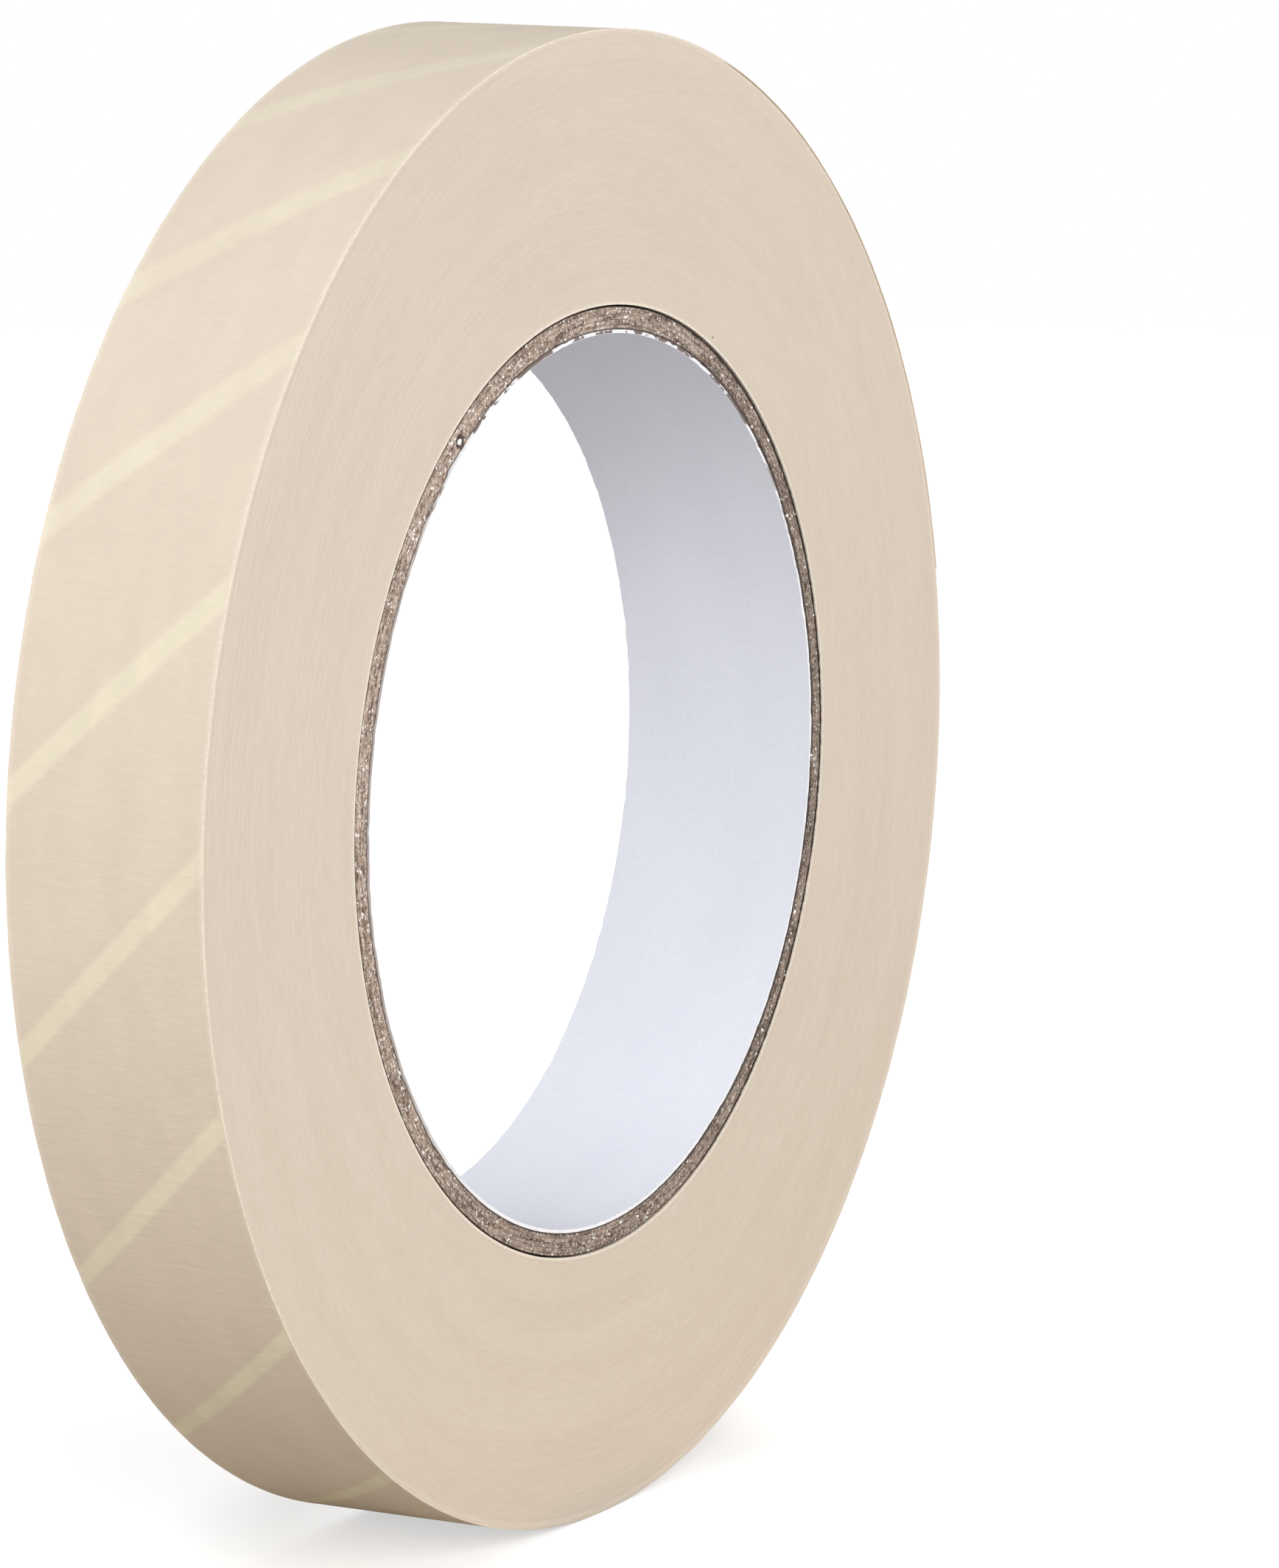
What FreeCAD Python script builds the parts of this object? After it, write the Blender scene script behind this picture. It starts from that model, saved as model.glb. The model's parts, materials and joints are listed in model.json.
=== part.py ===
import FreeCAD, Part
import os

# Masking tape roll standing on its rim. Millimetres, degrees, +Z up.
# The origin is the centre of the core's bore, and the bore runs along Y. The side faces are at -Y and +Y.
# Clock angles are counted from the top of the roll, clockwise as seen from the -Y side.

DRIVING_DIMENSIONS = (
    ("core_bore_radius", 38.1),  # a 3 inch core
    ("liner_thickness", 0.3),  # white paper ply that lines the bore
    ("ply_thickness", 0.4),  # each kraft ply of the core
    ("glue_line", 0.02),  # between two plies, and between the core and the tape
    ("seam_gap", 0.25),  # open butt seam of each ply
    ("ply_lead", 110),  # how far a ply's helix advances along the axis in one turn
    ("liner_seam_clock", 250),  # where the liner's seam crosses the middle of the core
    ("ply_stagger", 73),  # from the seam of one ply to that of the next one out
    ("roll_radius", 63.8),  # largest radius, at the tape's cut end
    ("roll_width", 18.4),  # tape and core are slit together, so they are equally wide
    ("backing_thickness", 0.12),  # creped paper
    ("adhesive_thickness", 0.04),
    ("tip_clock", 80),  # the tape's cut end
    ("segment_length", 8),  # each length of the free end, from one hinge line to the next
    ("segment_gap", 0.06),  # between two such lengths, along the tape
    ("lift_gap", 0.02),  # between the free end and the turn under it
)
PLY_COUNT = 5
SEGMENT_COUNT = 8
SEAM_REACH = 1.5  # a seam's cutter is longer than the ply is wide, and ends outside the ply, by this factor
SEAM_FLOOR = 0.6  # the cutter starts this far out, as a share of the ply's radius, clear of its other side

TAPE = "(sizes.backing_thickness + sizes.adhesive_thickness)"
PLY_PITCH = "(sizes.ply_thickness + sizes.glue_line)"
LINER_RADIUS = "(sizes.core_bore_radius + sizes.liner_thickness)"
CORE_RADIUS = f"({LINER_RADIUS} + {PLY_COUNT} * {PLY_PITCH})"

# The last turn is a spiral of two half circles. The first is centred on the bore's axis. The second is
# centred half a tape's thickness nearer to the cut end, and ends one thickness further out.
FIRST_HALF_RADIUS = f"(sizes.roll_radius - {TAPE})"
SECOND_HALF_RADIUS = f"(sizes.roll_radius - {TAPE} / 2)"
CENTRE_SHIFT = f"({TAPE} / 2)"
HALF_TURN = 180
SPIRAL_HALVES = (
    (0, FIRST_HALF_RADIUS, "sizes.tip_clock", "0"),
    (HALF_TURN, SECOND_HALF_RADIUS, f"(sizes.tip_clock + {HALF_TURN})", CENTRE_SHIFT),
)
SEGMENT_SWEEP = "(sizes.segment_length / sizes.roll_radius * 180 / pi)"
GAP_SWEEP = "(sizes.segment_gap / sizes.roll_radius * 180 / pi)"
FREE_END_SWEEP = f"({SEGMENT_COUNT} * {SEGMENT_SWEEP})"


def make_sheet(doc):
    """The spreadsheet of driving dimensions."""
    sheet = doc.addObject("Spreadsheet::Sheet", "sizes")
    for row, (alias, value) in enumerate(DRIVING_DIMENSIONS, start=1):
        sheet.set(f"A{row}", str(value))
        sheet.setAlias(f"A{row}", alias)
    doc.recompute()
    return sheet


def bind(feature, **expressions):
    """Bind properties of a feature to expressions."""
    for name, expression in expressions.items():
        feature.setExpression(name, str(expression))
    return feature


def turned(clock, shift="0"):
    """Placement of something drawn around Z: its axis is laid along Y, its X axis points at a clock
    angle, its near end is the -Y side face, and its centre is shifted towards the tape's cut end."""
    x = f"{shift} * sin(1 deg * sizes.tip_clock)"
    z = f"{shift} * cos(1 deg * sizes.tip_clock)"
    place = f"create(<<vector>>; {x}; -sizes.roll_width / 2; {z})"
    spin = f"create(<<rotation>>; create(<<vector>>; 0; 1; 0); {clock} - 90)"
    lay_down = "create(<<rotation>>; create(<<vector>>; 1; 0; 0); -90)"
    return f"create(<<placement>>; {place}; {spin} * {lay_down})"


def sector(doc, name, radius, clock, sweep, shift="0"):
    """A slice of a disc as wide as the roll, from a clock angle on clockwise."""
    disc = doc.addObject("Part::Cylinder", name)
    placement = turned(clock, shift)
    return bind(disc, Radius=radius, Height="sizes.roll_width", Angle=sweep, Placement=placement)


def cut(doc, name, base, tool):
    """What is left of base without tool."""
    feature = doc.addObject("Part::Cut", name)
    feature.Base = base
    feature.Tool = tool
    return feature


def join(doc, name, first, second):
    """Two solids that share a face, as one solid."""
    feature = doc.addObject("Part::Fuse", name)
    feature.Base = first
    feature.Tool = second
    return feature


def strip(doc, name, inner, outer, clock, sweep, shift="0"):
    """An arc of a layer of the roll, between two radii."""
    whole = sector(doc, f"{name}_outside", outer, clock, sweep, shift)
    hollow = sector(doc, f"{name}_inside", inner, 0, 2 * HALF_TURN, shift)
    return cut(doc, name, whole, hollow)


def ring(doc, name, inner, outer):
    """A ring as wide as the roll, from two half rings."""
    halves = [strip(doc, f"{name}_{clock}", inner, outer, clock, HALF_TURN) for clock in (0, HALF_TURN)]
    return join(doc, name, *halves)


def seam_cutter(doc, name, outer):
    """A thin slab through the top of a ring, slanted like the helix that the ply is wound on."""
    slant = f"atan(sizes.ply_lead / (2 * pi * {outer}))"
    length = f"({SEAM_REACH} * sizes.roll_width / sin({slant}))"
    height = f"{outer} * ({SEAM_REACH} - {SEAM_FLOOR})"
    corner = f"create(<<vector>>; -{length} / 2; -sizes.seam_gap / 2; {SEAM_FLOOR} * {outer})"
    lean = f"create(<<rotation>>; create(<<vector>>; 0; 0; 1); {slant})"
    placement = f"create(<<placement>>; {lean} * {corner}; {lean})"
    slab = doc.addObject("Part::Box", name)
    return bind(slab, Length=length, Width="sizes.seam_gap", Height=height, Placement=placement)


def core_ring(doc, name, inner, outer, clock):
    """One ply of the core: a strip of board wound on a helix, so that its edges meet in a slanted seam.
    It is cut with its seam at the top and then turned to a clock angle."""
    whole = ring(doc, f"{name}_ring", inner, outer)
    ply = cut(doc, name, whole, seam_cutter(doc, f"{name}_seam", outer))
    swing = f"create(<<rotation>>; create(<<vector>>; 0; 1; 0); {clock})"
    return bind(ply, Placement=f"create(<<placement>>; create(<<vector>>; 0; 0; 0); {swing})")


def core(doc):
    """The white liner of the bore and the kraft plies around it."""
    rings = [core_ring(doc, "core_liner", "sizes.core_bore_radius", LINER_RADIUS, "sizes.liner_seam_clock")]
    for number in range(1, PLY_COUNT + 1):
        outer = f"({LINER_RADIUS} + {number} * {PLY_PITCH})"
        inner = f"({outer} - sizes.ply_thickness)"
        clock = f"(sizes.liner_seam_clock + {number} * sizes.ply_stagger)"
        rings.append(core_ring(doc, f"core_ply_{number}", inner, outer, clock))
    return rings


def tape_windings(doc):
    """All the turns under the last one, bonded into one block, with a spiral outside."""
    name = "tape_windings"
    halves = [
        sector(doc, f"{name}_from_{start}", f"({radius} - {TAPE})", clock, HALF_TURN, shift)
        for start, radius, clock, shift in SPIRAL_HALVES
    ]
    hole = sector(doc, f"{name}_core_hole", f"({CORE_RADIUS} + sizes.glue_line)", 0, 2 * HALF_TURN)
    return cut(doc, name, join(doc, f"{name}_spiral", *halves), hole)


def tape_outer_turn(doc):
    """The last turn, from where it leaves the windings to the free end's first hinge line."""
    name = "tape_outer_turn"
    sweeps = (HALF_TURN, f"({HALF_TURN} - {FREE_END_SWEEP} - {GAP_SWEEP} / 2)")
    halves = [
        strip(doc, f"{name}_from_{start}", f"({radius} - {TAPE})", radius, clock, sweep, shift)
        for (start, radius, clock, shift), sweep in zip(SPIRAL_HALVES, sweeps)
    ]
    return join(doc, name, *halves)


def free_end(doc):
    """The last centimetres of tape in short lengths, each a strip of backing on a film of adhesive."""
    film_inside = f"({SECOND_HALF_RADIUS} - {TAPE} + sizes.lift_gap)"
    film_outside = f"({film_inside} + sizes.adhesive_thickness)"
    backing_outside = f"({film_outside} + sizes.backing_thickness)"
    pieces = []
    for number in range(1, SEGMENT_COUNT + 1):
        behind = SEGMENT_COUNT + 1 - number
        clock = f"(sizes.tip_clock - {behind} * {SEGMENT_SWEEP} + {GAP_SWEEP} / 2)"
        sweep = f"({SEGMENT_SWEEP} - {GAP_SWEEP})"
        for name, inner, outer in (
            (f"tape_end_{number}", film_outside, backing_outside),
            (f"tape_end_adhesive_{number}", film_inside, film_outside),
        ):
            pieces.append(strip(doc, name, inner, outer, clock, sweep, CENTRE_SHIFT))
    return pieces


def check(doc, pieces):
    """Stop if any feature failed, or any sub-part has no valid solid."""
    for feature in doc.Objects:
        if "Invalid" in feature.State or "Error" in feature.State:
            raise RuntimeError(f"{feature.Name} failed: {feature.State}")
    for piece in pieces:
        if piece.Shape.isNull() or not piece.Shape.isValid() or not piece.Shape.Solids:
            raise RuntimeError(f"{piece.Label} has no valid solid")


def main():
    doc = FreeCAD.newDocument("masking_tape_roll")
    make_sheet(doc)
    pieces = core(doc) + [tape_windings(doc), tape_outer_turn(doc)] + free_end(doc)
    doc.recompute()
    check(doc, pieces)
    os.makedirs("parts", exist_ok=True)
    for piece in pieces:
        piece.Shape.exportStep(f"parts/{piece.Label}.step")
        print(f"{piece.Label}: {len(piece.Shape.Solids)} solid, {piece.Shape.Volume:.3f} mm3")


main()
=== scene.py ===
import json
import math

import bmesh
import bpy
import numpy as np
from mathutils import Euler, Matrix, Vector

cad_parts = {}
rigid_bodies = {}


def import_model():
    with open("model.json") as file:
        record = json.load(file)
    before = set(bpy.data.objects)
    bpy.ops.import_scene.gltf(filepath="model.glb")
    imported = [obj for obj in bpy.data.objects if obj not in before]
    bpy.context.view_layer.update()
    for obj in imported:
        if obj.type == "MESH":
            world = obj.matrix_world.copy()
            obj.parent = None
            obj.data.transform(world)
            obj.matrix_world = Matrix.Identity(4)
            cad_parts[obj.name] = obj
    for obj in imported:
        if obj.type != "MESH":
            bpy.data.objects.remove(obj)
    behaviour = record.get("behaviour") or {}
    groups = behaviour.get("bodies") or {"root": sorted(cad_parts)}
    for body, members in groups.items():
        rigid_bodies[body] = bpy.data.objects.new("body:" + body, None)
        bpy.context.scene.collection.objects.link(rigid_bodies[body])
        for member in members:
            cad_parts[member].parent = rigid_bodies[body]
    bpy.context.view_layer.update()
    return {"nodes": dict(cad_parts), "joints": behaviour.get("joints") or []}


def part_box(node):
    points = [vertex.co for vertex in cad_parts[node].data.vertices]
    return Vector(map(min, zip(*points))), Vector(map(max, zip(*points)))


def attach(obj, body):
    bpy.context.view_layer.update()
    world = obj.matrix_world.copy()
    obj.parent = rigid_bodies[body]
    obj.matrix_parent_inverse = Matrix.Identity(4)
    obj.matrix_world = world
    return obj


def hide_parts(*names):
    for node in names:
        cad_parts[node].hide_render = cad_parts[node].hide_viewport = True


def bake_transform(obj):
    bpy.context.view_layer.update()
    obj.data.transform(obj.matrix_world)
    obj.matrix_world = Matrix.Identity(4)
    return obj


# A roll of masking tape that stands on its rim. The bore runs along Y, and the side faces are at -Y and +Y.
# Lengths are in millimetres until a mesh is made. Clock angles are in degrees from the top of the roll,
# clockwise as seen from -Y. The tape's clock angle runs on through its turns, and the tape's end has the
# highest one. A place along the tape is its clock angle as an arc of the roll's radius.

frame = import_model()

MM = 0.001
TURN = 360


# ---- What the frame gives


def reach(node):
    """The nearest and farthest that a CAD node comes to the bore's axis."""
    radii = [math.hypot(vertex.co.x, vertex.co.z) for vertex in frame["nodes"][node].data.vertices]
    return min(radii) / MM, max(radii) / MM


HALF_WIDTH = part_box("core_liner")[1].y / MM
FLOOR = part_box("tape_outer_turn")[0].z / MM
PLIES = sorted(name for name in frame["nodes"] if name.startswith("core_ply_"))
JOINTS = frame["joints"]
ROLL = JOINTS[0]["parent"]
HINGE_PLACES = [Vector(joint["pos_m"]) / MM for joint in JOINTS]
HINGE_CLOCKS = [TURN + math.degrees(math.atan2(place.x, place.z)) for place in HINGE_PLACES]
SEGMENT = HINGE_CLOCKS[1] - HINGE_CLOCKS[0]
TIP_CLOCK = HINGE_CLOCKS[-1] + SEGMENT
LIFT = 0.02  # of the free end's film over the turn below
RADIUS = reach(f"tape_end_{len(JOINTS)}")[1] - LIFT
TAPE = RADIUS - reach("tape_windings")[1]
FILM = 0.04  # the part of the tape's thickness that is adhesive
TAPE_INSIDE = reach("tape_windings")[0]
LINER_INSIDE, LINER_OUTSIDE = reach("core_liner")
BOARD_INSIDE = reach(PLIES[0])[0]
BOARD_OUTSIDE = reach(PLIES[-1])[1]

# ---- Sizes of the visible detail

PLY_LEAD = 110  # how far the helix of the core's plies goes along the roll in one turn
LINER_SEAM_CLOCK = 250
PLY_STAGGER = 73
SEAM_OPENING = 0.1  # along the ply's end
STRIPE_PITCH = 21.6  # along the tape
STRIPE_WIDTH = 2.6
STRIPE_SLOPE = 0.96  # how far a stripe moves along the tape for each millimetre across it
STRIPE_CLOCK = 264.2  # where one stripe crosses the middle of the tape
STRIPE_EDGE = 0.5  # half the width over which a stripe's edge fades
STRONG_CLOCK = 195  # where the stripes are strongest and narrowest, low on the roll; away from it they are painted fainter and wider, as painted sheen
TAPE_STEP = 0.135  # between the columns of the tape's mesh
CREPE_PITCH = 0.55
CREPE_DEPTH = 0.016
EDGE_BURR = 0.02
EDGE_WAVER = 0.03  # how unevenly the slitter's knife ran
ROUNDING = 0.03
SHOULDER = 0.3  # how deep the slit edge's rounding goes, as a share of the tape's thickness
SKIN = 0.02  # the tape's surface lies this far inside the CAD surface, so that its burrs end at it
BEND_BEFORE = 2.0  # each piece of the free end starts this far before its hinge
BEND_AFTER = 5.8
HOLLOW = 0.02  # how far the turn below is pressed in, so that a bend's near part has room
HOLLOW_PAST = 5  # from the last hinge to the hollow's end, along the tape
HOLLOW_FADE = 4  # the last length of the hollow, over which it runs out
MESH_START = HINGE_CLOCKS[0] - TURN - 2.5  # the last turn's mesh starts under the free end
CROWN_DEPTH = 0.012  # how far a turn's edge may lie inside the side face
GROOVE_DEPTH = 0.014  # between two turns
WAVE_DEPTH = 0.03  # of the side face's broad unevenness
WOUND_COLUMNS = 160  # in one turn of the side faces' mesh
RING_COLUMNS = 640  # in the mesh of each ply of the core
PLY_CHAMFER = 0.01
KNIFE_CHAMFER = 0.16  # of the outermost ply, whose edge the knife pushed in
FLECK_COUNT = 200  # flakes of pulp in the board's two cut ends
FLECK_CORNERS = 7
FLECK_SMALLEST = 0.08
FLECK_USUAL = 0.24  # the largest size but for one
FLECK_LARGEST = 0.42  # this one stands in a dark pit of painted shade
FLECK_CLOCK = -36.6
FLECK_RADIUS = 39.15
FLECK_ROOT = 0.16  # inside the side face
FLECK_TOP = 0.01
FIBRE_ROOT = 0.08  # inside the side face
PAINTED_SHADE_SIDE = (0.9, 0.0, -0.44)  # towards the side of the core's cut end that is painted darker, away from the key light: painted shade, with painted light on the other side
SHADE_BROADENING = 0.26  # of the two dark lines along the board's cut end, on that side: painted shade

# Random tables for the noise. The last two repeat after one turn round the core.
RNG = np.random.default_rng(1887)
CREPE_TABLE = RNG.random((997, 23))
WAVE_TABLE = RNG.random((61, 5))
CUT_TABLE = RNG.random((684, 67))
TEAR_TABLE = RNG.random((180, 67))
CUTS_PER_DEGREE = len(CUT_TABLE) / TURN
TEARS_PER_DEGREE = len(TEAR_TABLE) / TURN


# ---- Meshes


def smooth(share):
    """A share from 0 to 1, eased at both ends."""
    share = np.clip(share, 0, 1)
    return share * share * (3 - 2 * share)


def noise(table, across, down):
    """Smooth noise between 0 and 1 from a table of random values, which repeats past its edges."""
    left, top = np.floor(across).astype(int), np.floor(down).astype(int)
    right_share, low_share = smooth(across - left), smooth(down - top)
    rows, columns = table.shape

    def at(row, column):
        return table[(left + row) % rows, (top + column) % columns]

    upper = at(0, 0) * (1 - right_share) + at(1, 0) * right_share
    lower = at(0, 1) * (1 - right_share) + at(1, 1) * right_share
    return upper * (1 - low_share) + lower * low_share


def polar(clock, radius, y):
    """Points from clock angles, radii and places along the bore, as arrays that broadcast."""
    clock, radius, y = np.broadcast_arrays(np.radians(clock), radius, y)
    return np.stack([radius * np.sin(clock), y, radius * np.cos(clock)], axis=-1)


def arc(clock):
    """A place along the tape, from a clock angle."""
    return RADIUS * np.radians(clock)


def clock_at(place):
    """The clock angle of a place along the tape."""
    return np.degrees(np.asarray(place) / RADIUS)


def spiral(clock):
    """The radius of the tape's outer face. Each turn is two half circles, so that it climbs by the tape's
    thickness in the half that ends below the tape's end."""
    turns = np.floor((TIP_CLOCK - np.asarray(clock, float)) / TURN + 1e-9)
    turned = np.asarray(clock, float) + turns * TURN - TIP_CLOCK
    shift = TAPE / 2
    climbing = np.sqrt((RADIUS - shift) ** 2 - (shift * np.sin(np.radians(turned))) ** 2)
    climbing += shift * np.cos(np.radians(turned))
    return np.where(turned > -TURN / 2, climbing, RADIUS - TAPE) - turns * TAPE


def piece(name, points, faces, material, places=None):
    """A mesh object from points in millimetres. Places are kept on it for the material to read."""
    mesh = bpy.data.meshes.new(name)
    points = np.asarray(points, float).reshape(-1, 3) * MM
    mesh.from_pydata(points.tolist(), [], [list(face) for face in faces])
    shell = bmesh.new()
    shell.from_mesh(mesh)
    bmesh.ops.recalc_face_normals(shell, faces=shell.faces)
    shell.to_mesh(mesh)
    shell.free()
    mesh.shade_smooth()
    mesh.set_sharp_from_angle(angle=math.radians(50))
    mesh.materials.append(material)
    if places is not None:
        kept = mesh.attributes.new("place", "FLOAT_VECTOR", "POINT")
        kept.data.foreach_set("vector", np.asarray(places, np.float32).ravel())
    made = bpy.data.objects.new(name, mesh)
    bpy.context.scene.collection.objects.link(made)
    return made


def end_faces(loop, walls):
    """Faces that close a tube's end between its two walls of that many points, so that a slanted end
    follows the curve of the walls."""
    apart = (loop - 2 * walls) // 2  # points between the walls, on each side
    across, back = list(range(walls, walls + apart)), list(range(loop - apart, loop))
    faces = []
    for row in range(walls - 1):
        far = loop - apart - 1 - row
        right = across if row == walls - 2 else []
        left = back if row == 0 else []
        faces.append([row, row + 1, *right, far - 1, far, *left])
    return faces


def tube_faces(columns, loop, ring, walls=0):
    """Faces between the loops of points that follow each other along a tube. A ring's last loop meets its
    first, and any other tube is closed at both ends, by one face each if it has no walls."""
    last = columns if ring else columns - 1
    column, row = np.meshgrid(np.arange(last), np.arange(loop), indexing="ij")
    beside, below = (column + 1) % columns, (row + 1) % loop
    corners = [column * loop + row, column * loop + below, beside * loop + below, beside * loop + row]
    faces = np.stack(corners, axis=-1).reshape(-1, 4).tolist()
    if not ring:
        last_loop = (columns - 1) * loop
        for face in end_faces(loop, walls) if walls else [list(range(loop))]:
            faces.append(face[::-1])
            faces.append([last_loop + corner for corner in face])
    return faces


# ---- Materials


class Finish:
    """A principled material whose colour, roughness and relief come from nodes."""

    def __init__(self, name, specular=0.25):
        self.material = bpy.data.materials.new(name)
        self.material.use_nodes = True
        self.tree = self.material.node_tree
        self.surface = self.tree.nodes["Principled BSDF"]
        self.surface.inputs["Specular IOR Level"].default_value = specular

    def feed(self, socket, value):
        """Links a node's output to a socket, or sets the socket to a value."""
        if isinstance(value, bpy.types.NodeSocket):
            self.tree.links.new(value, socket)
        else:
            socket.default_value = value

    def node(self, kind, inputs, output=0, **settings):
        """Adds a node. The inputs are values or other nodes' outputs, by name or place."""
        added = self.tree.nodes.new(f"ShaderNode{kind}")
        for key, value in settings.items():
            setattr(added, key, value)
        for key, value in inputs.items():
            self.feed(added.inputs[key], value)
        return added.outputs[output]

    def math(self, operation, *values):
        return self.node("Math", dict(enumerate(values)), operation=operation)

    def vector(self, operation, *values, output=0):
        return self.node("VectorMath", dict(enumerate(values)), output, operation=operation)

    def point(self):
        """Where the surface is, in millimetres."""
        place = self.node("TexCoord", {}, "Object")
        return self.vector("MULTIPLY", place, (1 / MM, 1 / MM, 1 / MM))

    def place(self):
        """The place kept on the mesh: along the tape, across it, and 1 on its outer face."""
        return self.node("Attribute", {}, "Vector", attribute_name="place")

    def apart(self, vector):
        """A vector's three numbers."""
        split = self.tree.nodes.new("ShaderNodeSeparateXYZ")
        self.feed(split.inputs[0], vector)
        return split.outputs

    def joined(self, x=0.0, y=0.0, z=0.0):
        return self.node("CombineXYZ", {0: x, 1: y, 2: z})

    def noise(self, vector, scale, detail=2.0, roughness=0.5):
        inputs = {"Vector": vector, "Scale": scale, "Detail": detail, "Roughness": roughness}
        return self.node("TexNoise", inputs, "Fac")

    def ramp(self, value, start, end, low=0.0, high=1.0):
        """Low before start and high after end, and smooth between them."""
        inputs = {"Value": value, "From Min": start, "From Max": end, "To Min": low, "To Max": high}
        return self.node("MapRange", inputs, interpolation_type="SMOOTHSTEP")

    def mix(self, share, first, second):
        """The first colour at a share of 0, and the second at 1."""
        return self.node("Mix", {0: share, 6: first, 7: second}, 2, data_type="RGBA")

    def scaled(self, colour, value):
        """A colour times a number."""
        return self.node("VectorMath", {0: colour, "Scale": value}, operation="SCALE")

    def round_the_bore(self, turns_scale, radius_scale):
        """Coordinates that follow the roll's circles: direction from the axis, and distance from it."""
        flat = self.vector("MULTIPLY", self.point(), (1, 0, 1))
        radius = self.vector("LENGTH", flat, output="Value")
        direction = self.vector("MULTIPLY", self.vector("NORMALIZE", flat), (turns_scale,) * 3)
        stretched = self.joined(y=self.math("MULTIPLY", radius, radius_scale))
        return radius, self.vector("ADD", direction, stretched)

    def complete(self, colour, roughness, height=None, depth=0.0):
        """Feeds the shader, and gives the material. The relief's depth is in millimetres."""
        self.feed(self.surface.inputs["Base Color"], colour)
        self.feed(self.surface.inputs["Roughness"], roughness)
        if height is not None:
            inputs = {"Height": height, "Distance": depth * MM, "Strength": 1.0}
            self.feed(self.surface.inputs["Normal"], self.node("Bump", inputs))
        return self.material


def linear(red, green, blue):
    """An sRGB colour of 0 to 255, as the shaders take it."""
    colour = []
    for value in (red, green, blue):
        share = value / 255
        colour.append(share / 12.92 if share <= 0.04045 else ((share + 0.055) / 1.055) ** 2.4)
    return (*colour, 1.0)


TAN = linear(228, 214, 197)
STRIPE = linear(240, 232, 206)
SLIT_EDGE_AND_HIGHLIGHT = linear(246, 235, 219)
SIDE_DARK = linear(217, 202, 185)
SIDE_LIGHT = linear(224, 210, 194)
SPECK = linear(92, 78, 66)
BOARD_DARK = linear(98, 79, 68)
BOARD_LIGHT = linear(210, 190, 174)
BOARD_FLECK = linear(246, 241, 234)
BOARD_OUTER_LINE_AND_CREVICE_SHADE = linear(46, 34, 28)
BOARD_INNER_LINE = linear(70, 64, 68)
BOARD_PIT_SHADE = linear(58, 46, 40)
LINER_DARK = linear(223, 225, 235)
LINER_LIGHT = linear(230, 232, 241)
LINER_CUT = linear(252, 252, 253)
LINER_SOILED = linear(132, 116, 108)
LINER_RUBBED = linear(168, 155, 147)
FILM_DARK = linear(206, 183, 150)
FILM_LIGHT = linear(222, 202, 170)


def stripe_share(finish, place, crepe, cloud):
    """How much of the stripes' ink shows at a place along the tape. The print is uneven with the crepe and
    the clouds of the paper. Away from the clock angle where it is strongest, it is painted wider and
    fainter: painted sheen where the light falls."""
    along, across, outside = finish.apart(place)
    wobble = finish.math("MULTIPLY", finish.math("SUBTRACT", crepe, 0.5), 0.35)
    run = finish.math("ADD", finish.math("MULTIPLY_ADD", across, STRIPE_SLOPE, along), wobble)
    run = finish.math("SUBTRACT", run, float(arc(STRIPE_CLOCK)))
    beside = finish.math("ABSOLUTE", finish.math("WRAP", run, STRIPE_PITCH / 2, -STRIPE_PITCH / 2))
    # Painted sheen: the stripes fade and widen towards the lit part of the roll.
    turned = finish.math("MULTIPLY_ADD", along, 1 / RADIUS, -math.radians(STRONG_CLOCK))
    strong = finish.ramp(finish.math("COSINE", turned), -1, 1)
    beside = finish.math("MULTIPLY", beside, finish.math("MULTIPLY_ADD", strong, 0.56, 0.68))
    fade_start, fade_end = STRIPE_WIDTH / 2 - STRIPE_EDGE, STRIPE_WIDTH / 2 + STRIPE_EDGE
    stripe = finish.ramp(beside, fade_start, fade_end, 1.0, 0.0)
    stripe = finish.math("MULTIPLY", stripe, finish.ramp(outside, 0.85, 0.95))
    stripe = finish.math("MULTIPLY", stripe, finish.ramp(cloud, 0.25, 0.7, 0.75, 1.0))
    return finish.math("MULTIPLY", stripe, finish.math("MULTIPLY_ADD", strong, 0.62, 0.38))


def tape_finish():
    """Creped paper tape: tan, with pale diagonal stripes printed under its coat."""
    finish = Finish("creped_tape")
    place = finish.place()
    crepe = finish.noise(finish.vector("MULTIPLY", place, (2.4, 0.45, 0)), 1.0, 3.0, 0.6)
    fibre = finish.noise(finish.vector("MULTIPLY", place, (3.0, 4.5, 0)), 1.0, 2.0)
    cloud = finish.noise(finish.vector("MULTIPLY", place, (0.12, 0.3, 0)), 1.0, 2.0)
    shade = finish.ramp(cloud, 0.3, 0.7, 0.975, 1.015)
    shade = finish.math("ADD", shade, finish.ramp(crepe, 0.2, 0.8, -0.02, 0.02))
    shade = finish.math("ADD", shade, finish.ramp(fibre, 0.2, 0.8, -0.012, 0.012))
    colour = finish.mix(stripe_share(finish, place, crepe, cloud), TAN, STRIPE)
    # Partly the slit edges' pale fibres and partly painted highlight: a pale band along both edges of the
    # tape.
    from_middle = finish.math("ABSOLUTE", finish.apart(place)[1])
    edge = finish.ramp(from_middle, HALF_WIDTH - 0.6, HALF_WIDTH - 0.1)
    edge = finish.math("MULTIPLY", edge, finish.ramp(fibre, 0.25, 0.7, 0.1, 0.55))
    colour = finish.mix(edge, colour, SLIT_EDGE_AND_HIGHLIGHT)
    roughness = finish.ramp(crepe, 0.2, 0.8, 0.62, 0.78)
    return finish.complete(finish.scaled(colour, shade), roughness, crepe, 0.03)


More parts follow.
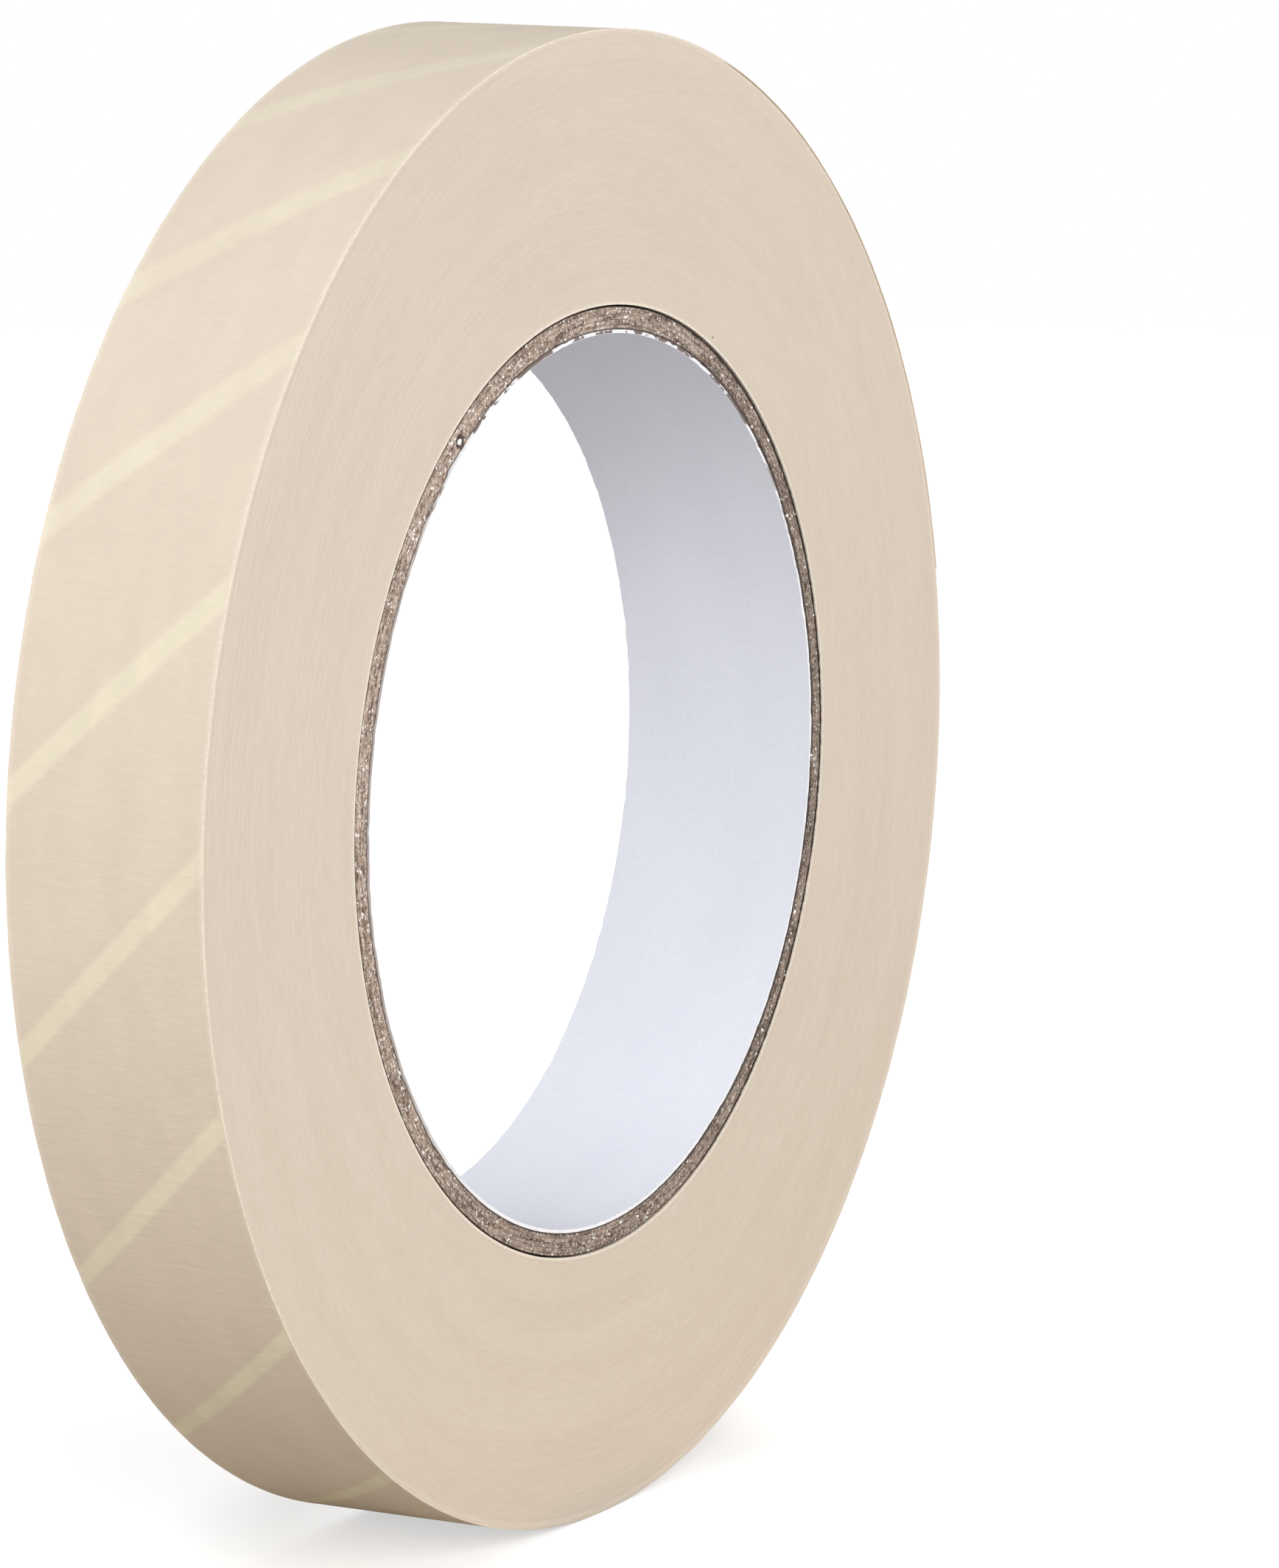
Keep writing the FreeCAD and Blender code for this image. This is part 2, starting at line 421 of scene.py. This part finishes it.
def side_finish():
    """The slit edges of all the turns, side by side."""
    finish = Finish("wound_tape_side")
    radius, fine_place = finish.round_the_bore(26.0, 3.1)
    broad_place = finish.round_the_bore(2.5, 0.35)[1]
    fine = finish.noise(fine_place, 1.0, 2.0, 0.6)
    broad = finish.noise(broad_place, 1.0, 2.0)
    grain = finish.noise(finish.point(), 3.5, 2.0)
    share = finish.math("ADD", finish.math("MULTIPLY", fine, 0.45), finish.math("MULTIPLY", broad, 0.35))
    share = finish.math("ADD", share, finish.math("MULTIPLY", grain, 0.2))
    colour = finish.mix(finish.ramp(share, 0.3, 0.7), SIDE_DARK, SIDE_LIGHT)
    scattered = {"Vector": finish.point(), "Scale": 0.11, "Randomness": 1.0}
    speck = finish.node("TexVoronoi", scattered, "Distance")
    colour = finish.mix(finish.ramp(speck, 0.010, 0.016, 0.75, 0.0), colour, SPECK)
    # Partly pale slit-edge fibres and partly painted highlight: paler at the innermost turns' lip and at
    # the crease of the outer rim.
    lip = finish.ramp(radius, TAPE_INSIDE + 0.12, TAPE_INSIDE + 0.3, 1.0, 0.0)
    rim = finish.ramp(radius, RADIUS - 0.9, RADIUS - 0.15, 0.0, 0.35)
    pale_and_highlight = finish.math("MAXIMUM", lip, rim)
    pale_and_highlight = finish.math("MULTIPLY", pale_and_highlight, finish.ramp(grain, 0.25, 0.7, 0.4, 0.95))
    colour = finish.mix(pale_and_highlight, colour, SLIT_EDGE_AND_HIGHLIGHT)
    return finish.complete(colour, finish.ramp(fine, 0.2, 0.8, 0.7, 0.85), fine, 0.02)


def board_finish(name, seed, darkness):
    """Grey kraft board, cut across: mottled, with pale flecks and streaks along the ply, and a dark line
    along each edge of the cut. The outer line is partly painted shade of the crevice against the tape. On
    the side
    away from the key light both lines are broader and the cut end is darker, and it is lighter on the other
    side:
    painted shade and light. A patch of painted shade rings the largest fleck."""
    finish = Finish(name, 0.15)
    radius, streak_place = finish.round_the_bore(9.0, 2.4)
    spot = finish.vector("ADD", finish.point(), (seed * 7.3, seed * 3.1, seed * 5.7))
    streak = finish.noise(streak_place, 1.0, 3.0, 0.65)
    mottle = finish.noise(spot, 2.6, 4.0, 0.8)
    fleck = finish.noise(finish.vector("ADD", spot, (31.0, 17.0, 5.0)), 3.4, 1.0, 0.4)
    share = finish.math("ADD", finish.math("MULTIPLY", streak, 0.35), finish.math("MULTIPLY", mottle, 0.65))
    colour = finish.mix(finish.ramp(share, 0.36, 0.64), BOARD_DARK, BOARD_LIGHT)
    colour = finish.mix(finish.ramp(fleck, 0.64, 0.69), colour, BOARD_FLECK)
    # Painted shade: both dark lines are broader towards +X, away from the key light.
    broader_in_shade = finish.ramp(finish.apart(finish.point())[0], 0, 34, 0.0, SHADE_BROADENING)
    rim = finish.math("ADD", radius, broader_in_shade)
    # The outer dark line is partly the board's pressed edge and partly painted shade of the crevice against
    # the tape.
    rim = finish.ramp(rim, BOARD_OUTSIDE - 0.26, BOARD_OUTSIDE - 0.12, 0.0, 0.95)
    colour = finish.mix(rim, colour, BOARD_OUTER_LINE_AND_CREVICE_SHADE)
    inner_line_and_shade = finish.math("SUBTRACT", radius, broader_in_shade)
    inner_line_and_shade = finish.ramp(inner_line_and_shade, BOARD_INSIDE + 0.05, BOARD_INSIDE + 0.2, 0.85, 0.0)
    colour = finish.mix(inner_line_and_shade, colour, BOARD_INNER_LINE)
    colour = finish.scaled(colour, finish.ramp(mottle, 0.2, 0.8, darkness - 0.08, darkness + 0.08))
    # Painted shade: a dark patch round the largest fleck stands for the shade of its pit.
    pit_shade_middle = polar(FLECK_CLOCK, FLECK_RADIUS, -HALF_WIDTH)
    pit_shade = finish.vector("DISTANCE", finish.point(), pit_shade_middle, output="Value")
    colour = finish.mix(finish.ramp(pit_shade, 0.5, 0.8, 0.85, 0.0), colour, BOARD_PIT_SHADE)
    # Painted shade and light: the cut end is darker towards +X, away from the key light, and lighter
    # towards -X.
    side_shade = finish.vector("DOT_PRODUCT", finish.point(), PAINTED_SHADE_SIDE, output="Value")
    colour = finish.scaled(colour, finish.ramp(side_shade, -40, 40, 1.15, 0.75))
    return finish.complete(colour, finish.ramp(mottle, 0.2, 0.8, 0.78, 0.95), mottle, 0.12)


def liner_finish():
    """The smooth white paper that lines the bore. Its cut edge is soiled at the top and rubbed at -X, and
    the paper is painted lighter towards the top and bottom of the bore and darker at its sides: painted
    light and shade."""
    finish = Finish("bore_liner_paper")
    cloud = finish.noise(finish.vector("MULTIPLY", finish.point(), (0.05, 0.12, 0.05)), 1.0, 2.0)
    fibre = finish.noise(finish.point(), 2.2, 3.0, 0.65)
    share = finish.math("ADD", finish.math("MULTIPLY", cloud, 0.5), finish.math("MULTIPLY", fibre, 0.5))
    colour = finish.mix(finish.ramp(share, 0.3, 0.7), LINER_DARK, LINER_LIGHT)
    x, _, z = finish.apart(finish.point())
    # Painted light and shade: the paper is lighter towards the top and bottom of the bore and darker at its
    # sides.
    colour = finish.scaled(colour, finish.ramp(finish.math("ABSOLUTE", z), 12, 38, 0.95, 1.07))
    radius, around = finish.round_the_bore(21.0, 0.9)
    soiled = finish.ramp(finish.noise(around, 1.0, 2.0, 0.6), 0.45, 0.53)
    soiled = finish.math("MULTIPLY", soiled, finish.ramp(z, 14, 28))
    edge = finish.mix(soiled, LINER_CUT, LINER_SOILED)
    edge = finish.mix(finish.ramp(x, -36, -18, 0.85, 0.0), edge, LINER_RUBBED)
    cut = finish.ramp(radius, LINER_INSIDE + 0.01, LINER_INSIDE + 0.05)
    colour = finish.mix(cut, colour, edge)
    return finish.complete(colour, finish.ramp(fibre, 0.2, 0.8, 0.55, 0.7), fibre, 0.003)


def film_finish():
    """The adhesive under the free end: tan, glossy and a little uneven."""
    finish = Finish("adhesive_film", 0.5)
    place = finish.place()
    coat = finish.noise(finish.vector("MULTIPLY", place, (0.9, 0.35, 0)), 1.0, 3.0, 0.6)
    colour = finish.mix(finish.ramp(coat, 0.3, 0.7), FILM_DARK, FILM_LIGHT)
    return finish.complete(colour, finish.ramp(coat, 0.25, 0.75, 0.25, 0.42), coat, 0.03)


def fibre_finish(name, dark, light):
    """Loose paper fibres."""
    finish = Finish(name, 0.1)
    change = finish.noise(finish.point(), 0.9, 1.0)
    return finish.complete(finish.mix(finish.ramp(change, 0.35, 0.65), dark, light), 0.9)


# ---- The tape


def strip_loop():
    """The tape's section as places across it, and depths below its outer face as shares of its thickness.
    The outer face's points are closer together near the slit edges."""
    middle = np.linspace(-HALF_WIDTH + 1.2, HALF_WIDTH - 1.2, 15)
    edge = np.array([ROUNDING, 0.14, 0.32, 0.7])
    across = np.concatenate([edge - HALF_WIDTH, middle, HALF_WIDTH - edge[::-1]])
    below = [HALF_WIDTH, HALF_WIDTH, 0, -HALF_WIDTH, -HALF_WIDTH]
    depth = np.concatenate([np.zeros(len(across)), [SHOULDER, 1, 1, 1, SHOULDER]])
    return np.concatenate([across, below]), depth


def crepe(along, across):
    """The tape's relief, at most 0: wrinkles across it, and burrs along its slit edges."""
    wrinkle = noise(CREPE_TABLE, along / CREPE_PITCH, across / 2.1 + 9)
    wrinkle = 0.7 * wrinkle + 0.3 * noise(CREPE_TABLE, along / (0.43 * CREPE_PITCH) + 100, across / 0.9)
    edge = smooth((np.abs(across) - HALF_WIDTH + 0.32) / 0.2)
    burr = EDGE_BURR * edge * noise(CREPE_TABLE, along / 1.9 + 300, across)
    return burr - SKIN + CREPE_DEPTH * (wrinkle - 0.5) * (1 - edge)


def tape_strip(name, start, end, top, underside, material):
    """A length of tape, from one place along it to another. Its faces lie outside the spiral by top(place)
    and underside(place)."""
    columns = int(round((end - start) / TAPE_STEP)) + 1
    across, depth = strip_loop()
    along = np.linspace(start, end, columns)[:, None]
    relief = np.where(depth == 0, crepe(along, across), 0)
    relief = np.where(depth == SHOULDER, -SKIN, relief)
    below = depth * (top(along) - underside(along))
    waver = EDGE_WAVER * noise(CREPE_TABLE, along / 2.3 + 500, np.full(across.shape, 3))
    shifted = np.where(np.abs(across) > HALF_WIDTH - 0.2, across - np.sign(across) * waver, across)
    radius = spiral(clock_at(along)) + top(along) + relief - below
    points = polar(clock_at(along), radius, shifted)
    places = np.stack(np.broadcast_arrays(along, across, 1 - depth), axis=-1)
    return piece(name, points, tube_faces(columns, len(across), False), material, places)


def outer_turn(material):
    """The last turn, from under the free end round to where the free end's first piece starts."""
    start, end = arc(MESH_START), arc(HINGE_CLOCKS[0]) - BEND_BEFORE
    hollow_end = arc(HINGE_CLOCKS[-1] - TURN) + HOLLOW_PAST

    def top(along):
        return -HOLLOW * smooth((hollow_end - along) / HOLLOW_FADE)

    made = tape_strip("outer_turn", start, end, top, lambda along: -TAPE, material)
    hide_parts("tape_outer_turn")
    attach(made, ROLL)


def free_end_pieces(name, node, outer, inner, material):
    """The free end's backing or film, cut into one piece for each hinge, from a little before it to a
    little before the next hinge or the tip. Its faces lie under the backing's outer face by outer and
    inner."""
    hinges = [float(arc(clock)) for clock in HINGE_CLOCKS]
    cuts = [hinge - BEND_BEFORE for hinge in hinges] + [float(arc(TIP_CLOCK))]

    def lift(along):
        return LIFT * smooth((along - cuts[0]) / BEND_AFTER)

    for number, hinge in enumerate(hinges, 1):
        start, end = cuts[number - 1 : number + 1]
        faces = (lambda along: lift(along) - outer, lambda along: lift(along) - inner)
        made = tape_strip(f"{name}_{number}", start, end, *faces, material)
        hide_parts(f"{node}_{number}")
        bend = [Vector(polar(clock_at(place), RADIUS, 0)) * MM for place in (start, hinge + BEND_AFTER)]
        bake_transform(made)


def wound_side(side):
    """Points of one side face: a groove and a crown for each turn of one spiral. The rows run outwards, and
    the last column's rows lie one turn, two rows, farther out than the first column's."""
    clocks = MESH_START + np.linspace(0, TURN, WOUND_COLUMNS + 1)
    turns = int((RADIUS - TAPE_INSIDE) / TAPE) + 1
    rows = np.arange(2 * turns + 1)
    outside = (spiral(clocks) - TAPE)[:, None]
    radius = outside - TAPE * (rows[-1] - rows) / 2
    radius = np.maximum(radius, TAPE_INSIDE + 0.002 * rows)
    number = rows + 2 * (clocks[:, None] - clocks[0]) / TURN
    crown = CROWN_DEPTH * noise(WAVE_TABLE, number / 2 * 0.83, np.zeros_like(number))
    wave = WAVE_DEPTH * noise(WAVE_TABLE, number / 17, clocks[:, None] / 90)
    groove = np.where(rows % 2 == 1, 0.0, GROOVE_DEPTH)
    ends = smooth((radius - TAPE_INSIDE - 0.1) / 0.5) * smooth((outside - radius - 0.1) / 0.5)
    inset = ends * (crown + wave + groove)
    return polar(clocks[:, None], radius, side * (HALF_WIDTH - inset))


def wound_tape(material):
    """All the turns under the last one, as one block whose sides show every turn."""
    points = np.stack([wound_side(-1), wound_side(1)])
    columns, rows = points.shape[1:3]
    numbers = np.arange(2 * columns * rows).reshape(2, columns, rows)
    numbers[:, -1, :-2] = numbers[:, 0, 2:]
    faces = []
    for grid in numbers:
        quads = np.stack([grid[:-1, :-1], grid[:-1, 1:], grid[1:, 1:], grid[1:, :-1]], axis=-1)
        faces += quads.reshape(-1, 4).tolist()
        faces.append([int(grid[-2, 0])] + grid[0, :3].tolist())
    outer, inner = numbers[:, :, -1], numbers[:, :, 0]
    faces += np.stack([outer[0, :-1], outer[0, 1:], outer[1, 1:], outer[1, :-1]], axis=-1).tolist()
    inner = inner[:, :-1]
    beyond = np.roll(inner, -1, axis=1)
    faces += np.stack([inner[0], inner[1], beyond[1], beyond[0]], axis=-1).tolist()
    step = [numbers[0, 0, -1], numbers[0, -1, -2], numbers[0, -1, -1]]
    step += [numbers[1, -1, -1], numbers[1, -1, -2], numbers[1, 0, -1]]
    faces.append([int(number) for number in step])
    made = piece("wound_tape", points, faces, material)
    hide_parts("tape_windings")
    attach(made, ROLL)


# ---- The core


def ply_loop(inside, outside, wall_rows, end_rows, chamfers):
    """A ply's section as radii, places across it, and whether each is on a cut end."""
    inner_cut, outer_cut = chamfers
    walls = np.linspace(-1, 1, wall_rows)
    across = np.linspace(inside + inner_cut, outside - outer_cut, end_rows)
    radii = [np.full(wall_rows, outside), across[::-1][1:-1], np.full(wall_rows, inside), across[1:-1]]
    places = [walls, np.ones(end_rows - 2), walls[::-1], -np.ones(end_rows - 2)]
    radii, places = np.concatenate(radii), np.concatenate(places) * HALF_WIDTH
    at_end = np.abs(places) >= HALF_WIDTH - 1e-6
    radii = radii + np.where(at_end & (radii == inside), inner_cut, 0)
    radii = radii - np.where(at_end & (radii == outside), outer_cut, 0)
    return radii, places, at_end


def cut_inset(clock, radii, places, rough, torn):
    """How far the knife's rough cut lies inside the side faces: bites everywhere, and torn places here and
    there."""
    column = radii / 0.17 + np.where(places > 0, 31, 0)
    cut = clock * CUTS_PER_DEGREE
    bite = 0.65 * noise(CUT_TABLE, cut, column) + 0.35 * noise(CUT_TABLE, 2 * cut, column / 2)
    tear = smooth((noise(TEAR_TABLE, clock * TEARS_PER_DEGREE, column / 5) - 0.55) * 3)
    return rough * bite + torn * tear * (0.5 + bite)


def core_ring(name, node, number, material, rows, rough, torn, chamfers):
    """One ply of the core: a strip wound on a helix, so that its edges meet in a slanted seam, with roughly
    cut ends. The rows are those of its mesh across the roll and across the ply."""
    inside, outside = reach(node)
    radii, places, at_end = ply_loop(inside, outside, *rows, chamfers)
    seam = LINER_SEAM_CLOCK + number * PLY_STAGGER
    opening = math.degrees(SEAM_OPENING / outside)
    share = np.linspace(0, 1, RING_COLUMNS)[:, None]
    slant = smooth(np.abs(share - 0.5) * 4 - 1)  # full at the seam, and none on the far side
    clock = seam + slant * TURN * places / PLY_LEAD + opening / 2 + share * (TURN - opening)
    inset = np.where(at_end, cut_inset(clock, radii, places, rough, torn), 0)
    points = polar(clock, radii, places - np.sign(places) * inset)
    made = piece(name, points, tube_faces(RING_COLUMNS, len(radii), False, rows[0]), material)
    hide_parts(node)
    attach(made, ROLL)


def core():
    """The liner, and the plies of board round it."""
    liner = liner_finish()
    core_ring("bore_liner", "core_liner", 0, liner, (25, 5), 0.06, 0.05, (0.0, 0.0))
    for number, node in enumerate(PLIES, 1):
        board = board_finish(f"kraft_board_{number}", number, 0.98 + 0.01 * (number % 3))
        chamfers = (0.0, KNIFE_CHAMFER if node == PLIES[-1] else PLY_CHAMFER)
        torn = 0.1 if number == 1 else 0.0
        core_ring(f"board_ply_{number}", node, number, board, (13, 6), 0.12, torn, chamfers)


# ---- Fibres


def strands(name, roots, aims, lengths, thickness, material):
    """Thin three-sided strands that taper and curl away from their roots."""
    count, steps = len(roots), 4
    curl = RNG.normal(size=(count, 3)) * 0.5
    share = np.linspace(0, 1, steps)[None, :, None]
    lengths = lengths[:, None, None]
    spine = roots[:, None] + lengths * (share * aims[:, None] + share**2 * curl[:, None])
    spine[..., 2] = np.maximum(spine[..., 2], FLOOR + thickness)
    first = np.cross(aims, RNG.normal(size=(count, 3)))
    first /= np.linalg.norm(first, axis=1, keepdims=True)
    second = np.cross(aims, first)
    angles = np.arange(3) * 2 * math.pi / 3
    ring = np.cos(angles)[:, None] * first[:, None] + np.sin(angles)[:, None] * second[:, None]
    taper = thickness / 2 * (1 - 0.8 * share)
    points = spine[:, :, None] + taper[..., None] * ring[:, None]
    faces = tube_faces(steps, 3, False)
    starts = range(0, count * steps * 3, steps * 3)
    every = [[start + corner for corner in face] for start in starts for face in faces]
    made = piece(name, points.reshape(-1, 3), every, material)
    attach(made, ROLL)
    return made


def fuzz(name, side, count, clocks, radii, outward, inward, longest, thickness, material, slot):
    """Strands that stand out of one side of the roll, between two clock angles and two radii."""
    clock = RNG.uniform(*clocks, count)
    radius = RNG.uniform(*radii, count)
    roots = polar(clock, radius, side * (HALF_WIDTH - FIBRE_ROOT))
    radial = polar(clock, 1.0, 0.0)
    aims = outward * side * np.array([0, 1.0, 0]) + inward * radial
    aims = aims + RNG.normal(size=(count, 3)) * 0.6
    aims /= np.linalg.norm(aims, axis=1, keepdims=True)
    lengths = longest * RNG.uniform(0.15, 1, count) ** 2.5
    strands(name, roots, aims, lengths, thickness, material)


def flecks(material):
    """Flakes of white pulp that the knife left standing in the cut end of the board."""
    clocks = RNG.uniform(0, TURN, FLECK_COUNT)
    radii = RNG.uniform(BOARD_INSIDE + 0.2, BOARD_OUTSIDE - 0.4, FLECK_COUNT)
    sizes = FLECK_SMALLEST + (FLECK_USUAL - FLECK_SMALLEST) * RNG.random(FLECK_COUNT) ** 2
    clocks[0], radii[0], sizes[0] = FLECK_CLOCK, FLECK_RADIUS, FLECK_LARGEST
    sides = np.where(np.arange(FLECK_COUNT) % 2 == 0, -1, 1)
    angles = np.arange(FLECK_CORNERS) * 2 * math.pi / FLECK_CORNERS
    points, faces = [], []
    for clock, radius, size, side in zip(clocks, radii, sizes, sides):
        ragged = size * RNG.uniform(0.7, 1.15, FLECK_CORNERS)
        turned = np.degrees(1.3 * ragged * np.cos(angles) / radius)
        outwards = ragged * np.sin(angles)
        first = len(points)
        points += list(polar(clock + turned, radius + outwards, side * (HALF_WIDTH - FLECK_ROOT)))
        turned, outwards = 0.6 * turned, 0.6 * outwards
        points += list(polar(clock + turned, radius + outwards, side * (HALF_WIDTH - FLECK_TOP)))
        base = list(range(first, first + FLECK_CORNERS))
        cap = [number + FLECK_CORNERS for number in base]
        faces += [(base[i], base[i - 1], cap[i - 1], cap[i]) for i in range(FLECK_CORNERS)]
        faces += [cap, base[::-1]]
    made = piece("board_flecks", points, faces, material)
    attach(made, ROLL)


def loose_fibres():
    """The flakes in the board, and the fibres that the slitter left along every cut edge, on both sides."""
    tan = fibre_finish("tan_fibres", linear(226, 210, 188), linear(246, 236, 218))
    white = fibre_finish("white_fibres", linear(214, 216, 226), linear(242, 243, 250))
    grey = fibre_finish("board_fibres", linear(150, 134, 124), linear(214, 204, 196))
    flecks(fibre_finish("pulp_flakes", linear(240, 238, 235), linear(255, 254, 251)))
    turn = (0, TURN)
    off_the_free_end = (TIP_CLOCK - TURN + 4, HINGE_CLOCKS[0] - 4)
    rim = (RADIUS - TAPE - 0.12, RADIUS - TAPE - 0.03)
    lip = (TAPE_INSIDE + 0.03, TAPE_INSIDE + 0.2)
    liner = (LINER_INSIDE, LINER_OUTSIDE)
    board = (LINER_OUTSIDE, BOARD_OUTSIDE - 0.15)
    # Each has a name, a count, clock angles and radii. Then come how strongly the strands point out of the
    # side and away from the bore's axis, their greatest length and thickness, the material and the slot.
    edges = (
        ("rim_fuzz", 700, off_the_free_end, rim, 0.6, 0.0, 0.2, 0.014, tan, "tape"),
        ("lip_fuzz", 500, turn, lip, 0.3, -0.5, 0.25, 0.016, tan, "tape"),
        ("liner_fuzz", 900, turn, liner, 0.15, -0.9, 0.4, 0.02, white, "core_liner"),
        ("board_fuzz", 900, turn, board, 0.5, 0.0, 0.25, 0.024, grey, "core_board"),
    )
    for end, side in (("front", -1), ("back", 1)):
        for name, *edge in edges:
            fuzz(f"{name}_{end}", side, *edge)


# ---- The stage


CAMERA_AZIMUTH = -61.0
CAMERA_ELEVATION = 9.0
CAMERA_DISTANCE = 704.9
CAMERA_SIDEWAYS = 11.38  # to the camera's own right
CAMERA_DOWN = 0.84
LENS = 189.6
SENSOR = 36
FLOOR_RADIUS = 1000
SHADE_ALONG = 45  # how far the shade on the floor round the roll's foot goes
SHADE_ACROSS = 25
BOUNCE_BESIDE = (0.53, 0.475, 0.395, 1)  # what the floor throws back onto the rim
BOUNCE_AHEAD = (0.69, 0.70, 0.74, 1)  # and onto the side faces and the bore


def direction(azimuth, elevation):
    """Towards a viewer or a light. Azimuth 0 looks along +Y."""
    turn, rise = math.radians(azimuth), math.radians(elevation)
    return Vector((math.sin(turn) * math.cos(rise), -math.cos(turn) * math.cos(rise), math.sin(rise)))


def camera():
    """The camera at the photograph's viewing angle."""
    made = bpy.data.objects.new("camera", bpy.data.cameras.new("camera"))
    bpy.context.scene.collection.objects.link(made)
    made.rotation_euler = Euler((math.radians(90 - CAMERA_ELEVATION), 0, math.radians(CAMERA_AZIMUTH)))
    turned = made.rotation_euler.to_matrix()
    back = turned @ Vector((CAMERA_SIDEWAYS, -CAMERA_DOWN, CAMERA_DISTANCE))
    made.location = back * MM
    made.data.lens = LENS
    made.data.sensor_width = SENSOR
    bpy.context.scene.camera = made


def softbox(name, azimuth, elevation, distance, size, power, colour):
    """A round area light that points at the roll. Its distance and size are in metres."""
    data = bpy.data.lights.new(name, "AREA")
    data.shape = "DISK"
    data.size = size
    data.energy = power
    data.color = colour
    made = bpy.data.objects.new(name, data)
    bpy.context.scene.collection.objects.link(made)
    aim = direction(azimuth, elevation)
    made.location = aim * distance
    made.rotation_euler = aim.to_track_quat("Z", "Y").to_euler()


def surroundings(strength, tint):
    """An even white room, which the camera sees as pure white."""
    world = bpy.data.worlds.new("studio")
    bpy.context.scene.world = world
    world.use_nodes = True
    tree = world.node_tree
    fill = tree.nodes["Background"]
    fill.inputs["Color"].default_value = tint
    fill.inputs["Strength"].default_value = strength
    seen = tree.nodes.new("ShaderNodeBackground")
    seen.inputs["Color"].default_value = (1, 1, 1, 1)
    path = tree.nodes.new("ShaderNodeLightPath")
    choice = tree.nodes.new("ShaderNodeMixShader")
    tree.links.new(path.outputs["Is Camera Ray"], choice.inputs[0])
    tree.links.new(fill.outputs[0], choice.inputs[1])
    tree.links.new(seen.outputs[0], choice.inputs[2])
    tree.links.new(choice.outputs[0], tree.nodes["World Output"].inputs["Surface"])


def studio_floor():
    """A plain pale floor. It glows for the camera, and less in the roll's shade, so that it runs into the
    white room. It throws back a warmer light beside the rim than ahead of the side faces, and little right
    under the roll."""
    finish = Finish("studio_floor", 0.0)
    seen = finish.node("LightPath", {}, "Is Camera Ray")
    finish.surface.inputs["Emission Color"].default_value = (1, 1, 1, 1)
    spread = finish.vector("MULTIPLY", finish.point(), (1 / SHADE_ALONG, 1 / SHADE_ACROSS, 0))
    spread = finish.vector("LENGTH", spread, output="Value")
    glow = finish.ramp(spread, 0.6, 1.1, 0.44, 0.58)
    glow = finish.math("ADD", glow, finish.ramp(spread, 0.3, 0.7, 0.12, 0.0))
    finish.feed(finish.surface.inputs["Emission Strength"], finish.math("MULTIPLY", seen, glow))
    cloud = finish.noise(finish.point(), 0.01, 1.0)
    paper = finish.mix(cloud, (0.74, 0.74, 0.74, 1), (0.76, 0.76, 0.76, 1))
    x, y, _ = finish.apart(finish.point())
    along, across = finish.math("ABSOLUTE", x), finish.math("ABSOLUTE", y)
    ahead = finish.ramp(finish.math("MULTIPLY_ADD", along, -0.6, across), 20, 80)
    clear = finish.math("MAXIMUM", finish.ramp(along, 4, 20, 0.35, 1.0), finish.ramp(across, 9, 14))
    bounce = finish.scaled(finish.mix(ahead, BOUNCE_BESIDE, BOUNCE_AHEAD), clear)
    material = finish.complete(finish.mix(seen, bounce, paper), 0.9)
    angles = np.linspace(0, 2 * math.pi, 64, endpoint=False)
    points = [(FLOOR_RADIUS * math.cos(angle), FLOOR_RADIUS * math.sin(angle), FLOOR) for angle in angles]
    made = piece("studio_floor", points, [range(len(points))], material)


camera()
softbox("key", azimuth=-42, elevation=24, distance=3.0, size=2.0, power=64.0, colour=(1.0, 0.995, 0.985))
softbox("fill", azimuth=-75, elevation=4, distance=3.0, size=1.5, power=7.0, colour=(0.86, 0.93, 1.0))
surroundings(strength=0.56, tint=(1.0, 1.0, 1.0, 1.0))
studio_floor()
bpy.context.scene.view_settings.view_transform = "Standard"

tape_material = tape_finish()
outer_turn(tape_material)
free_end_pieces("free_end", "tape_end", 0, TAPE - FILM, tape_material)
free_end_pieces("free_end_film", "tape_end_adhesive", TAPE - FILM, TAPE, film_finish())
wound_tape(side_finish())
core()
loose_fibres()
